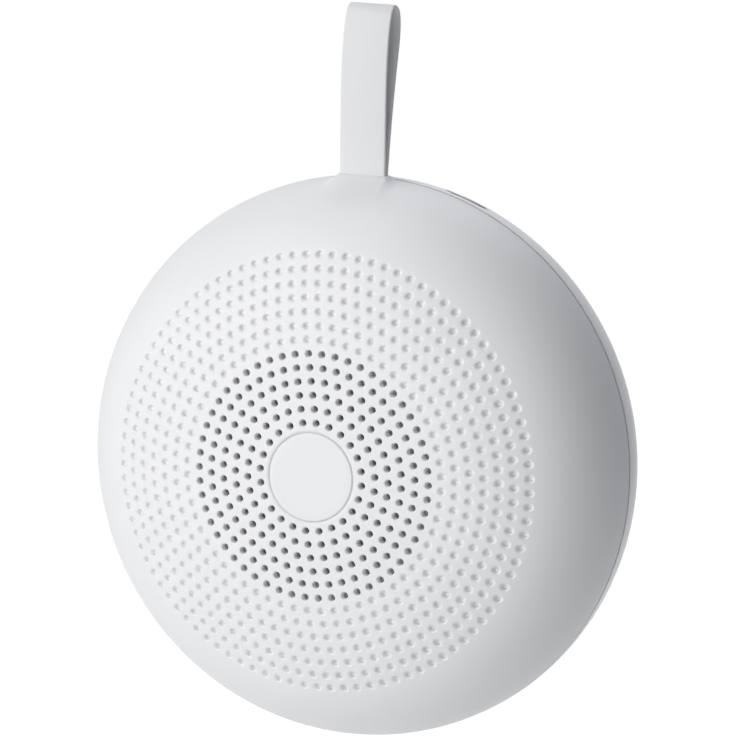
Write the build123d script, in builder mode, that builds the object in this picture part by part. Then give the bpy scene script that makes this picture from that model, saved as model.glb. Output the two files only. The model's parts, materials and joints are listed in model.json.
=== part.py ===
from build123d import *
from math import cos, degrees, radians, sin, sqrt
import os

# Portable white noise sound machine: a round, domed loudspeaker housing that hangs by a strap loop.
# Millimetres, +Z up. The grille faces -Y and the flat back +Y. The housing is a body of revolution
# about a level axis. The origin is the point inside the top of the strap loop that a hook carries.
# "Depth" is measured from the apex of the dome towards the back, and "radius" from the housing's axis.
# Angles round the axis are seen from the front, counter-clockwise from +X.

# ---- housing
body_radius = 51.75
dome_depth = 26.97  # apex to the widest line
crown_radius = 168.0  # shallow dome over the grille
crown_slope = 8.15  # degrees, where the crown passes into the flank
flank_slope = 28.8  # degrees, where the flank passes into the shoulder
rim_straight = 0.45  # straight rim of the shell behind its widest line
cover_depth = 8.1  # parting line to flat back
cover_barrel_radius = 20.0  # curve of the cover's side, from front to back
cover_edge_radius = 1.2
shell_wall = 2.2
cover_wall = 2.0
groove_width = 0.2  # shadow gap at the parting line
groove_depth = 0.3
lip_height = 1.9  # tongue of the cover inside the shell
lip_thickness = 1.25
locating_gap = 0.1  # between pieces that locate in one another
running_gap = 0.3  # between pieces that move past one another

# ---- grille and badge
ring_pitch = 2.5  # ring n of the pattern has 6 n places
first_open_ring = 4
last_open_ring = 9
hole_width = 1.3  # across corners
hole_sides = 6
pattern_turn = -20.1  # degrees, where every ring has a hole
grille_thickness = 3.2  # at the apex
field_margin = 0.9  # flat beyond the middle of the last ring
badge_margin = 1.0  # dome between the badge's seat and the first ring's holes
badge_gap = 0.15
badge_thickness = 1.4
cloth_thickness = 0.3

# ---- strap
strap_width = 9.0
strap_thickness = 0.68
strap_setback = 3.4  # parting line to the middle of the strap's root
tongue_thickness = 1.9  # both legs of the loop where they leave the housing
loop_rise = 31.85  # housing to the top of the loop
loop_radius = 3.2  # outside of the loop's rounded top
loop_lean = 3.05  # top of the loop behind its root
belly_drop = 12.7  # top of the loop to where the front leg stands upright
belly_radius = 2.4
collar_rise = 0.75  # collar round the strap's slot, above the housing's highest line
collar_wall = 0.45
collar_edge_radius = 0.3
pin_radius = 1.0
pin_drop = 4.35  # pin below the shell's inner wall
pin_clearance = 0.05
bead_wall = 1.3  # strap round its pin
post_width = 2.2  # ribs of the shell that hold the pin
post_gap = 0.4

# ---- loudspeaker
land_step = 2.0  # moulded land that the driver sits on, behind the grille's inner face
land_margin = 4.0  # land beyond the driver's flange
driver_margin = 2.6  # driver beyond the grille's field
gasket_width = 2.3
gasket_thickness = 0.8
flange_width = 3.6
flange_thickness = 1.2
basket_wall = 1.0
surround_width = 4.0  # flange to cone
cone_rise = 4.2  # rim to neck
cone_thickness = 0.5
cone_travel = 0.9  # each way
neck_width = 1.2
neck_thickness = 0.7
coil_radius = 8.0
coil_wall = 0.6
coil_length = 6.9
dust_cap_rise = 2.6
dust_cap_thickness = 0.4
spider_radius = 15.4
spider_thickness = 0.3
spider_seat = 1.2
surround_thickness = 0.3
surround_rise = 1.5
spider_to_plate = 1.6  # ledge to the rear plate of the basket
magnet_gap = 0.4  # air gap each side of the coil
top_plate_radius = 14.0
top_plate_thickness = 2.0
magnet_radius = 15.5
bore_gap = 1.5  # coil to magnet
magnet_thickness = 4.5
yoke_radius = 14.5
yoke_thickness = 2.0
terminal_width = 9.0
terminal_height = 4.5
terminal_thickness = 0.9
speaker_screw_radius = 1.0
speaker_screw_head = 3.0
speaker_screw_head_height = 1.3
speaker_screw_length = 2.8
speaker_boss_wall = 1.1
speaker_screw_count = 4

# ---- housing screws and feet
pillar_inset = 10.2  # cover's inner wall to the middle of a pillar
pillar_angle = 45.0
pillar_count = 4
pillar_wall = 1.7
screw_radius = 1.25
screw_clearance = 0.05
screw_grip = 9.0  # thread inside the pillar
screw_head_radius = 2.4
screw_head_height = 1.5
sleeve_floor = 1.4  # cover under the screw's head
head_gap = 0.3
sleeve_wall = 1.5
foot_radius = 5.0
foot_thickness = 1.3
foot_proud = 0.4
foot_gap = 0.15

# ---- board
board_thickness = 1.2
board_gap = 2.0  # cover's inner wall to the board
board_standoff = 4.2  # inside of the flat back to the board
board_boss_inset = 4.2  # board's edge to the middle of a boss
board_boss_angles = (20.0, 110.0, 250.0, 340.0)
board_boss_radius = 2.4
board_screw_radius = 0.8
board_screw_head = 1.8
board_screw_head_height = 1.1
board_screw_length = 4.0
pillar_passage = 0.5  # board clear of the pillars
window_gap = 1.5  # board clear of the battery
chip_size = 8.0
chip_height = 1.1
chip_inset = 13.2  # board's edge to the row of both chips
chip_side = -8.0  # right of the housing's middle
amplifier_size = 5.0
amplifier_side = 6.0
capacitor_radius = 2.4
capacitor_height = 5.4
capacitor_inset = 7.5  # window to the column of capacitors
capacitor_spacing = 6.4
lead_socket_length = 7.0
lead_socket_width = 4.0
lead_socket_height = 3.2
lead_socket_spread = 14.0
lead_socket_inset = 12.2  # board's edge to the row of sockets
lead_width = 3.0
lead_thickness = 0.9
lead_bend = 1.2

# ---- charging socket
usb_angle = 69.7
usb_width = 8.94
usb_height = 3.16
usb_length = 7.3
usb_wall = 0.3
usb_recess = 0.5  # mouth behind the cover's surface
usb_gap = 0.12
usb_tongue_width = 6.6
usb_tongue_thickness = 0.7
usb_tongue_setback = 1.0
tab_margin = 1.03  # board tab beyond the socket, each side
tab_gap = 0.5  # board tab short of the cover's wall

# ---- keys
key_names = ("power", "sound", "volume_down", "volume_up", "timer")
key_middle_angle = 180.0
key_separation = 1.0  # between the flanges of two keys
key_length = 7.6
key_width = 3.2
key_gap = 0.15
key_proud = 0.5
key_travel = 0.3
key_flange_margin = 0.7
key_flange_thickness = 0.8
key_stem_radius = 1.0
key_stem_length = 0.7
plunger_radius = 0.8
plunger_proud = 0.7
plunger_length = 1.6
plunger_clearance = 0.05
switch_length = 4.6
switch_depth = 3.6
switch_height = 3.0

# ---- battery
battery_length = 50.0
battery_width = 34.0
battery_thickness = 4.4
battery_corner_radius = 3.0
pad_thickness = 0.6
pad_inset = 5.0


# ---- the housing's profile: three tangent arcs from the apex to the widest line
def slope_point(centre, radius, slope):
    """The point of an arc, as (radius, depth), where the profile has this slope in degrees."""
    angle = radians(slope)
    return (centre[0] + radius * sin(angle), centre[1] - radius * cos(angle))


def tangent_centre(point, radius, slope):
    """The centre of the arc that starts at the point with this slope."""
    angle = radians(slope)
    return (point[0] - radius * sin(angle), point[1] + radius * cos(angle))


def arc_reach(start_slope, end_slope):
    """How far outwards and back an arc of radius 1 goes between these slopes in degrees."""
    start, end = radians(start_slope), radians(end_slope)
    return (sin(end) - sin(start), cos(start) - cos(end))


def cross(first, second):
    """Size of the parallelogram between two pairs."""
    return first[0] * second[1] - first[1] * second[0]


# the flank and the shoulder share what is left between the crown and the widest line
crown_centre = (0.0, crown_radius)
crown_end = slope_point(crown_centre, crown_radius, crown_slope)
left_over = (body_radius - crown_end[0], dome_depth - crown_end[1])
flank_reach = arc_reach(crown_slope, flank_slope)
shoulder_reach = arc_reach(flank_slope, 90)
flank_radius = cross(left_over, shoulder_reach) / cross(flank_reach, shoulder_reach)
shoulder_radius = cross(flank_reach, left_over) / cross(flank_reach, shoulder_reach)
flank_centre = tangent_centre(crown_end, flank_radius, crown_slope)
flank_end = slope_point(flank_centre, flank_radius, flank_slope)
shoulder_centre = tangent_centre(flank_end, shoulder_radius, flank_slope)

parting_depth = dome_depth + rim_straight
back_depth = parting_depth + cover_depth
floor_depth = back_depth - cover_wall
shell_inner_radius = body_radius - shell_wall
lip_radius = shell_inner_radius - locating_gap
cover_inner_radius = lip_radius - lip_thickness

# ---- the frame
strap_depth = parting_depth - strap_setback
loop_depth = strap_depth + loop_lean
apex_y = -loop_depth
axis_z = strap_thickness - loop_rise - body_radius
housing_axis = Axis((0, apex_y, axis_z), (0, 1, 0))
profile_plane = Plane(origin=(0, apex_y, axis_z), x_dir=(1, 0, 0), z_dir=(0, 0, 1))


def face_plane(depth):
    """A plane across the housing at this depth: x to the right, y up, seen from the front."""
    return Plane(origin=(0, apex_y + depth, axis_z), x_dir=(1, 0, 0), z_dir=(0, -1, 0))


def rim_plane(angle, radius, depth):
    """A plane that faces outwards at the housing's side: x along the rim, y towards the front."""
    turn = radians(angle)
    return Plane(
        origin=(radius * cos(turn), apex_y + depth, axis_z + radius * sin(turn)),
        x_dir=(-sin(turn), 0, cos(turn)),
        z_dir=(cos(turn), 0, sin(turn)),
    )


def around(radius, count, start_angle):
    """Points on a circle about the housing's axis, for a sketch on a face plane."""
    return PolarLocations(radius, count, start_angle=start_angle)


def barrel_radius(below_parting):
    """Outer radius of the cover's side at this depth behind the parting line."""
    return body_radius - cover_barrel_radius + sqrt(cover_barrel_radius**2 - below_parting**2)


def crown_depth(radius):
    """Depth of the dome's surface at this radius, inside the crown."""
    return crown_radius - sqrt(crown_radius**2 - radius**2)


# ---- depths of the pieces behind the grille, from front to back
field_radius = last_open_ring * ring_pitch + field_margin
badge_radius = first_open_ring * ring_pitch - hole_width / 2 - badge_margin - badge_gap
driver_radius = field_radius + driver_margin
cone_radius = driver_radius - flange_width - surround_width
magnet_bore = coil_radius + bore_gap
land_depth = grille_thickness + land_step
land_radius = driver_radius + land_margin
flange_depth = land_depth + gasket_thickness
flange_back = flange_depth + flange_thickness
cone_rim_depth = flange_back
cone_neck_depth = cone_rim_depth + cone_rise
coil_depth = cone_neck_depth + neck_thickness
spider_depth = coil_depth + cone_travel + 2 * running_gap
ledge_depth = spider_depth + spider_thickness
plate_depth = ledge_depth + spider_to_plate
magnet_depth = plate_depth + top_plate_thickness
yoke_depth = magnet_depth + magnet_thickness
board_back = floor_depth - board_standoff
board_front = board_back - board_thickness
sleeve_depth = back_depth + foot_proud - foot_thickness - screw_head_height - head_gap - sleeve_floor
head_seat_depth = sleeve_depth + sleeve_floor
foot_seat_depth = back_depth + foot_proud - foot_thickness
io_depth = board_back + usb_height / 2
key_depth = board_back + switch_height / 2

# ---- places round the housing's axis
half_flange = key_length / 2 + key_flange_margin
flange_radius = sqrt(cover_inner_radius**2 - half_flange**2) - running_gap
key_turn = degrees((2 * half_flange + key_separation) / flange_radius)
first_key_angle = key_middle_angle - (len(key_names) - 1) / 2 * key_turn
key_angles = [first_key_angle + place * key_turn for place in range(len(key_names))]
pillar_circle = cover_inner_radius - pillar_inset
board_radius = cover_inner_radius - board_gap
board_boss_circle = board_radius - board_boss_inset
chip_row = board_radius - chip_inset
lead_socket_drop = board_radius - lead_socket_inset
window_length = battery_length + 2 * window_gap
window_width = battery_width + 2 * window_gap
speaker_screw_circle = driver_radius + speaker_boss_wall + speaker_screw_radius + 2 * locating_gap
speaker_boss_radius = speaker_screw_radius + screw_clearance + speaker_boss_wall
pillar_radius = screw_radius + screw_clearance + pillar_wall
sleeve_radius = screw_head_radius + head_gap + sleeve_wall
slot_width = strap_width + 2 * locating_gap
slot_depth = tongue_thickness + 2 * locating_gap
collar_z = axis_z + body_radius + collar_rise
post_inner_x = strap_width / 2 + post_gap
pin_z = shell_inner_radius - pin_drop
bead_radius = pin_radius + pin_clearance + bead_wall

# ---- front shell: the moulded dome with its grille
inner_slopes = (flank_slope, 50.0, 70.0)  # where the straight inner faces meet, degrees
with BuildPart() as front_shell:
    with BuildSketch(profile_plane):
        with BuildLine():
            ThreePointArc((0, 0), slope_point(crown_centre, crown_radius, crown_slope / 2), crown_end)
            ThreePointArc(
                crown_end,
                slope_point(flank_centre, flank_radius, (crown_slope + flank_slope) / 2),
                flank_end,
            )
            ThreePointArc(
                flank_end,
                slope_point(shoulder_centre, shoulder_radius, (flank_slope + 90) / 2),
                (body_radius, dome_depth),
            )
            Polyline(
                (body_radius, dome_depth),
                (body_radius, parting_depth),
                (shell_inner_radius, parting_depth),
                (shell_inner_radius, dome_depth - shell_wall),
                *[
                    slope_point(shoulder_centre, shoulder_radius - shell_wall, slope)
                    for slope in reversed(inner_slopes)
                ],
                (land_radius, land_depth),
                (field_radius, land_depth),
                (field_radius, grille_thickness),
                (0, grille_thickness),
                (0, 0),
            )
        make_face()
    revolve(axis=housing_axis)
    # seat of the badge
    with BuildSketch(face_plane(badge_thickness)):
        Circle(badge_radius + badge_gap)
    extrude(amount=badge_thickness, mode=Mode.SUBTRACT)
    # bosses of the loudspeaker's screws
    with BuildSketch(face_plane(land_depth - locating_gap)):
        with around(speaker_screw_circle, speaker_screw_count, 0):
            Circle(speaker_boss_radius)
    extrude(amount=locating_gap - (flange_back - land_depth))
    with BuildSketch(face_plane(flange_back)):
        with around(speaker_screw_circle, speaker_screw_count, 0):
            Circle(speaker_screw_radius + screw_clearance)
    extrude(amount=speaker_screw_length + locating_gap, mode=Mode.SUBTRACT)
    # pillars that the housing screws go into
    with BuildSketch(face_plane(sleeve_depth)):
        with around(pillar_circle, pillar_count, pillar_angle):
            Circle(pillar_radius)
    extrude(amount=sleeve_depth - slope_point(flank_centre, flank_radius, flank_slope)[1] - shell_wall / 2)
    with BuildSketch(face_plane(sleeve_depth)):
        with around(pillar_circle, pillar_count, pillar_angle):
            Circle(screw_radius + screw_clearance)
    extrude(amount=screw_grip + 1, mode=Mode.SUBTRACT)
    # collar, posts for the strap's pin, and the slot that the strap leaves by
    with BuildSketch(Plane.XY.offset(collar_z)):
        with Locations((0, strap_depth - loop_depth)):
            RectangleRounded(
                slot_width + 2 * collar_wall,
                slot_depth + 2 * collar_wall,
                collar_wall + locating_gap,
            )
    extrude(amount=-collar_rise - shell_wall)
    fillet(edges().group_by(Axis.Z)[-1], collar_edge_radius)
    with BuildSketch(Plane.YZ):
        with Locations((strap_depth - loop_depth, axis_z + pin_z)):
            with Locations((0, (pin_drop + shell_wall / 2 - bead_radius) / 2)):
                Rectangle(2 * bead_radius, pin_drop + shell_wall / 2 + bead_radius)
            Circle(pin_radius + pin_clearance, mode=Mode.SUBTRACT)
    extrude(amount=post_inner_x + post_width, both=True)
    with BuildSketch(Plane.YZ):
        with Locations((strap_depth - loop_depth, axis_z + pin_z - shell_wall)):
            Rectangle(4 * bead_radius, 2 * (pin_drop + shell_wall))
    extrude(amount=post_inner_x, both=True, mode=Mode.SUBTRACT)
    with BuildSketch(Plane.XY.offset(axis_z + pin_z)):
        with Locations((0, strap_depth - loop_depth)):
            Rectangle(slot_width, slot_depth)
    extrude(amount=2 * (pin_drop + shell_wall), mode=Mode.SUBTRACT)
    # open rings of the grille
    with BuildSketch(face_plane(grille_thickness)):
        for ring in range(first_open_ring, last_open_ring + 1):
            with around(ring * ring_pitch, 6 * ring, pattern_turn):
                RegularPolygon(hole_width / 2, hole_sides)
    extrude(amount=grille_thickness, mode=Mode.SUBTRACT)
front_shell.part.label = "front_shell"

# ---- centre badge: a plain flat disc, flush with the dome at its rim
badge_face_depth = crown_depth(badge_radius)
with BuildPart() as centre_badge:
    with BuildSketch(face_plane(badge_face_depth)):
        Circle(badge_radius)
    extrude(amount=badge_face_depth - badge_thickness)
centre_badge.part.label = "centre_badge"

# ---- acoustic cloth behind the grille
with BuildPart() as grille_cloth:
    with BuildSketch(face_plane(grille_thickness)):
        Circle(field_radius - locating_gap)
    extrude(amount=-cloth_thickness)
grille_cloth.part.label = "grille_cloth"

# ---- rear cover: a shallow dish with a lip, pierced for the socket and the keys
with BuildPart() as rear_cover:
    with BuildSketch(profile_plane):
        with BuildLine():
            edge = (body_radius - groove_depth, parting_depth)
            groove = (body_radius - groove_depth, parting_depth + groove_width)
            front = (barrel_radius(groove_width), parting_depth + groove_width)
            middle = (barrel_radius(cover_depth / 2), parting_depth + cover_depth / 2)
            corner = (barrel_radius(cover_depth), back_depth)
            Polyline(edge, groove, front)
            ThreePointArc(front, middle, corner)
            Polyline(
                corner,
                (0, back_depth),
                (0, floor_depth),
                (cover_inner_radius, floor_depth),
                (cover_inner_radius, parting_depth - lip_height),
                (lip_radius, parting_depth - lip_height),
                (lip_radius, parting_depth),
                edge,
            )
        make_face()
        fillet(vertices().group_by(Axis.Y)[-1].sort_by(Axis.X)[-1], cover_edge_radius)
    revolve(axis=housing_axis)
    # the lip stops short of the strap's posts
    with BuildSketch(face_plane(parting_depth)):
        with Locations((0, lip_radius)):
            Rectangle(2 * (post_inner_x + post_width + running_gap), 4 * lip_thickness)
    extrude(amount=lip_height, mode=Mode.SUBTRACT)
    # sleeves over the pillars, open at the back for the screws' heads and the feet
    with BuildSketch(face_plane(sleeve_depth)):
        with around(pillar_circle, pillar_count, pillar_angle):
            Circle(sleeve_radius)
    extrude(amount=sleeve_depth - back_depth + cover_wall / 2)
    with BuildSketch(face_plane(sleeve_depth)):
        with around(pillar_circle, pillar_count, pillar_angle):
            Circle(screw_radius + 2 * screw_clearance)
    extrude(amount=-sleeve_floor, mode=Mode.SUBTRACT)
    with BuildSketch(face_plane(head_seat_depth)):
        with around(pillar_circle, pillar_count, pillar_angle):
            Circle(screw_head_radius + head_gap)
    extrude(amount=head_seat_depth - back_depth, mode=Mode.SUBTRACT)
    with BuildSketch(face_plane(foot_seat_depth)):
        with around(pillar_circle, pillar_count, pillar_angle):
            Circle(foot_radius + foot_gap)
    extrude(amount=foot_seat_depth - back_depth, mode=Mode.SUBTRACT)
    # bosses that carry the board
    with BuildSketch(face_plane(board_back)):
        for angle in board_boss_angles:
            with around(board_boss_circle, 1, angle):
                Circle(board_boss_radius)
    extrude(amount=-board_standoff)
    with BuildSketch(face_plane(board_back)):
        for angle in board_boss_angles:
            with around(board_boss_circle, 1, angle):
                Circle(board_screw_radius + screw_clearance)
    extrude(amount=-board_screw_length, mode=Mode.SUBTRACT)
    # charging opening
    with BuildSketch(rim_plane(usb_angle, cover_inner_radius - shell_wall, io_depth)):
        SlotOverall(usb_width + 2 * usb_gap, usb_height + 2 * usb_gap)
    extrude(amount=3 * shell_wall + lip_thickness, mode=Mode.SUBTRACT)
    # key openings
    for key_angle in key_angles:
        with BuildSketch(rim_plane(key_angle, cover_inner_radius - shell_wall, key_depth)):
            SlotOverall(key_length + 2 * key_gap, key_width + 2 * key_gap)
        extrude(amount=3 * shell_wall + lip_thickness, mode=Mode.SUBTRACT)
rear_cover.part.label = "rear_cover"

# ---- rubber feet over the screws' heads
with BuildPart() as rubber_feet:
    with BuildSketch(face_plane(foot_seat_depth)):
        with around(pillar_circle, pillar_count, pillar_angle):
            Circle(foot_radius)
    extrude(amount=-foot_thickness)
rubber_feet.part.label = "rubber_feet"

# ---- housing screws
with BuildPart() as housing_screws:
    with BuildSketch(face_plane(head_seat_depth)):
        with around(pillar_circle, pillar_count, pillar_angle):
            Circle(screw_head_radius)
    extrude(amount=-screw_head_height)
    with BuildSketch(face_plane(head_seat_depth)):
        with around(pillar_circle, pillar_count, pillar_angle):
            Circle(screw_radius)
    extrude(amount=sleeve_floor + screw_grip)
housing_screws.part.label = "housing_screws"

# ---- strap: one moulded loop whose legs join in a tongue and end in a bead round the pin
root_y = strap_depth - loop_depth
loop_z = strap_thickness - loop_radius
belly_y = root_y - tongue_thickness / 2 + belly_radius
belly_z = strap_thickness - belly_drop
gap_root_radius = 0.15
with BuildPart() as strap:
    with BuildSketch(Plane.YZ):
        with Locations((0, loop_z)):
            Circle(loop_radius)
        with Locations((belly_y, belly_z)):
            Circle(belly_radius)
        with Locations((root_y, collar_z)):
            Circle(tongue_thickness / 2)
        make_hull()
    extrude(amount=strap_width / 2, both=True)
    with BuildSketch(Plane.YZ):
        with Locations((0, loop_z)):
            Circle(loop_radius - strap_thickness)
        with Locations((belly_y, belly_z)):
            Circle(belly_radius - strap_thickness)
        with Locations((root_y, collar_z + tongue_thickness)):
            Circle(gap_root_radius)
        make_hull()
    extrude(amount=strap_width / 2, both=True, mode=Mode.SUBTRACT)
    with BuildSketch(Plane.YZ):
        with Locations((root_y, (collar_z + axis_z + pin_z) / 2)):
            Rectangle(tongue_thickness, collar_z - axis_z - pin_z)
        with Locations((root_y, axis_z + pin_z)):
            Circle(bead_radius)
            Circle(pin_radius + pin_clearance, mode=Mode.SUBTRACT)
    extrude(amount=strap_width / 2, both=True)
strap.part.label = "strap"

with BuildPart() as strap_pin:
    with BuildSketch(Plane.YZ):
        with Locations((root_y, axis_z + pin_z)):
            Circle(pin_radius)
    extrude(amount=post_inner_x + post_width, both=True)
strap_pin.part.label = "strap_pin"

# ---- loudspeaker: gasket, basket, moving cone, suspension and magnet
with BuildPart() as speaker_gasket:
    with BuildSketch(face_plane(land_depth)):
        Circle(driver_radius)
        Circle(driver_radius - gasket_width, mode=Mode.SUBTRACT)
    extrude(amount=-gasket_thickness)
speaker_gasket.part.label = "speaker_gasket"

spider_outer = spider_radius + spider_seat
with BuildPart() as speaker_frame:
    with BuildSketch(profile_plane):
        with BuildLine():
            Polyline(
                (driver_radius, flange_depth),
                (driver_radius, flange_back),
                (driver_radius - flange_width + basket_wall, flange_back),
                (spider_outer + basket_wall, ledge_depth),
                (spider_outer, ledge_depth + basket_wall),
                (spider_outer, plate_depth),
                (magnet_bore, plate_depth),
                (magnet_bore, plate_depth - basket_wall),
                (spider_radius, plate_depth - basket_wall),
                (spider_radius, ledge_depth),
                (spider_outer, ledge_depth),
                (driver_radius - flange_width, flange_back - basket_wall / 2),
                (driver_radius - flange_width, flange_depth),
                (driver_radius, flange_depth),
            )
        make_face()
    revolve(axis=housing_axis)
    # windows between the four arms of the basket
    with BuildSketch(face_plane(flange_back + basket_wall)):
        with around(driver_radius, 4, 45):
            RegularPolygon(driver_radius - spider_outer, 6)
    extrude(amount=flange_back + 2 * basket_wall - ledge_depth, mode=Mode.SUBTRACT)
speaker_frame.part.label = "speaker_frame"

with BuildPart() as surround:
    with BuildSketch(profile_plane):
        with BuildLine():
            inner = cone_radius + running_gap
            outer = driver_radius - gasket_width - locating_gap
            seat = driver_radius - flange_width
            crest = flange_depth - surround_rise
            Polyline(
                (outer, flange_depth - surround_thickness),
                (outer, flange_depth),
                (seat, flange_depth),
                (seat - surround_thickness, crest + 2 * surround_thickness),
                (inner + 3 * surround_thickness, crest + 2 * surround_thickness),
                (inner + surround_thickness, cone_rim_depth),
                (inner, cone_rim_depth),
                (inner + surround_thickness, crest + surround_thickness),
                (inner + 3 * surround_thickness, crest),
                (seat - surround_thickness, crest),
                (seat, flange_depth - surround_thickness),
                (outer, flange_depth - surround_thickness),
            )
        make_face()
    revolve(axis=housing_axis)
surround.part.label = "surround"

neck_radius = coil_radius - coil_wall
with BuildPart() as cone:
    with BuildSketch(profile_plane):
        with BuildLine():
            Polyline(
                (cone_radius, cone_rim_depth),
                (cone_radius, cone_rim_depth + cone_thickness),
                (coil_radius, coil_depth),
                (neck_radius, coil_depth),
                (neck_radius, cone_neck_depth),
                (neck_radius + neck_width, cone_neck_depth),
                (cone_radius, cone_rim_depth),
            )
        make_face()
    revolve(axis=housing_axis)
cone.part.label = "cone"

with BuildPart() as dust_cap:
    with BuildSketch(profile_plane):
        with BuildLine():
            rim = neck_radius + neck_width - locating_gap
            top = cone_neck_depth - dust_cap_rise
            inner_rim = rim - 2 * dust_cap_thickness
            Polyline(
                (rim, cone_neck_depth),
                (rim / 2, top),
                (0, top),
                (0, top + dust_cap_thickness),
                (rim / 2, top + dust_cap_thickness),
                (inner_rim, cone_neck_depth),
                (rim, cone_neck_depth),
            )
        make_face()
    revolve(axis=housing_axis)
dust_cap.part.label = "dust_cap"

with BuildPart() as voice_coil:
    with BuildSketch(face_plane(coil_depth)):
        Circle(coil_radius)
        Circle(neck_radius, mode=Mode.SUBTRACT)
    extrude(amount=-coil_length)
voice_coil.part.label = "voice_coil"

with BuildPart() as spider:
    with BuildSketch(face_plane(spider_depth)):
        Circle(spider_outer - locating_gap)
        Circle(coil_radius + running_gap, mode=Mode.SUBTRACT)
    extrude(amount=-spider_thickness)
spider.part.label = "spider"

with BuildPart() as top_plate:
    with BuildSketch(face_plane(plate_depth)):
        Circle(top_plate_radius)
        Circle(coil_radius + magnet_gap, mode=Mode.SUBTRACT)
    extrude(amount=-top_plate_thickness)
top_plate.part.label = "top_plate"

with BuildPart() as magnet:
    with BuildSketch(face_plane(magnet_depth)):
        Circle(magnet_radius)
        Circle(magnet_bore, mode=Mode.SUBTRACT)
    extrude(amount=-magnet_thickness)
magnet.part.label = "magnet"

with BuildPart() as yoke:
    with BuildSketch(face_plane(yoke_depth)):
        Circle(yoke_radius)
    extrude(amount=-yoke_thickness)
    with BuildSketch(face_plane(yoke_depth)):
        Circle(neck_radius - magnet_gap)
    extrude(amount=yoke_depth - plate_depth)
yoke.part.label = "yoke"

terminal_top = -(magnet_radius + locating_gap)
with BuildPart() as speaker_terminal:
    with BuildSketch(face_plane(plate_depth)):
        with Locations((0, terminal_top - terminal_thickness / 2)):
            Rectangle(terminal_width, terminal_thickness)
    extrude(amount=-terminal_height)
speaker_terminal.part.label = "speaker_terminal"

with BuildPart() as speaker_screws:
    with BuildSketch(face_plane(flange_back)):
        with around(speaker_screw_circle, speaker_screw_count, 0):
            Circle(speaker_screw_head)
    extrude(amount=-speaker_screw_head_height)
    with BuildSketch(face_plane(flange_back)):
        with around(speaker_screw_circle, speaker_screw_count, 0):
            Circle(speaker_screw_radius)
    extrude(amount=speaker_screw_length)
speaker_screws.part.label = "speaker_screws"

# ---- board: a ring round the battery, with a tab under the charging socket
with BuildPart() as main_board:
    with BuildSketch(face_plane(board_front)):
        Circle(board_radius)
        with around(cover_inner_radius - tab_gap, 1, usb_angle):
            Rectangle(usb_length, usb_width + 2 * tab_margin, align=(Align.MAX, Align.CENTER))
        RectangleRounded(window_length, window_width, battery_corner_radius, mode=Mode.SUBTRACT)
        with around(pillar_circle, pillar_count, pillar_angle):
            Circle(pillar_radius + pillar_passage, mode=Mode.SUBTRACT)
        for angle in board_boss_angles:
            with around(board_boss_circle, 1, angle):
                Circle(board_screw_radius + 2 * screw_clearance, mode=Mode.SUBTRACT)
    extrude(amount=-board_thickness)
main_board.part.label = "main_board"

with BuildPart() as board_screws:
    with BuildSketch(face_plane(board_front)):
        for angle in board_boss_angles:
            with around(board_boss_circle, 1, angle):
                Circle(board_screw_head)
    extrude(amount=board_screw_head_height)
    with BuildSketch(face_plane(board_front)):
        for angle in board_boss_angles:
            with around(board_boss_circle, 1, angle):
                Circle(board_screw_radius)
    extrude(amount=screw_clearance - board_screw_length)
board_screws.part.label = "board_screws"

with BuildPart() as sound_chip:
    with BuildSketch(face_plane(board_front)):
        with Locations((chip_side, chip_row)):
            Rectangle(chip_size, chip_size)
    extrude(amount=chip_height)
sound_chip.part.label = "sound_chip"

with BuildPart() as amplifier_chip:
    with BuildSketch(face_plane(board_front)):
        with Locations((amplifier_side, chip_row)):
            Rectangle(amplifier_size, amplifier_size)
    extrude(amount=chip_height)
amplifier_chip.part.label = "amplifier_chip"

with BuildPart() as capacitors:
    with BuildSketch(face_plane(board_front)):
        with Locations((window_length / 2 + capacitor_inset, 0)):
            with GridLocations(0, capacitor_spacing, 1, 3):
                Circle(capacitor_radius)
    extrude(amount=capacitor_height)
capacitors.part.label = "capacitors"

with BuildPart() as lead_sockets:
    with BuildSketch(face_plane(board_front)):
        with Locations((0, -lead_socket_drop), (lead_socket_spread, -lead_socket_drop)):
            Rectangle(lead_socket_length, lead_socket_width)
    extrude(amount=lead_socket_height)
lead_sockets.part.label = "lead_sockets"

# ---- charging socket: a folded shell with its contact tongue
usb_mouth_radius = barrel_radius(io_depth - parting_depth) - usb_recess
with BuildPart() as usb_socket:
    with BuildSketch(rim_plane(usb_angle, usb_mouth_radius, io_depth)):
        SlotOverall(usb_width, usb_height)
    extrude(amount=-usb_length)
    with BuildSketch(rim_plane(usb_angle, usb_mouth_radius, io_depth)):
        SlotOverall(usb_width - 2 * usb_wall, usb_height - 2 * usb_wall)
    extrude(amount=usb_wall - usb_length, mode=Mode.SUBTRACT)
usb_socket.part.label = "usb_socket"

with BuildPart() as usb_tongue:
    with BuildSketch(rim_plane(usb_angle, usb_mouth_radius - usb_tongue_setback, io_depth)):
        Rectangle(usb_tongue_width, usb_tongue_thickness)
    extrude(amount=usb_tongue_setback + usb_wall - usb_length)
usb_tongue.part.label = "usb_tongue"

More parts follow.
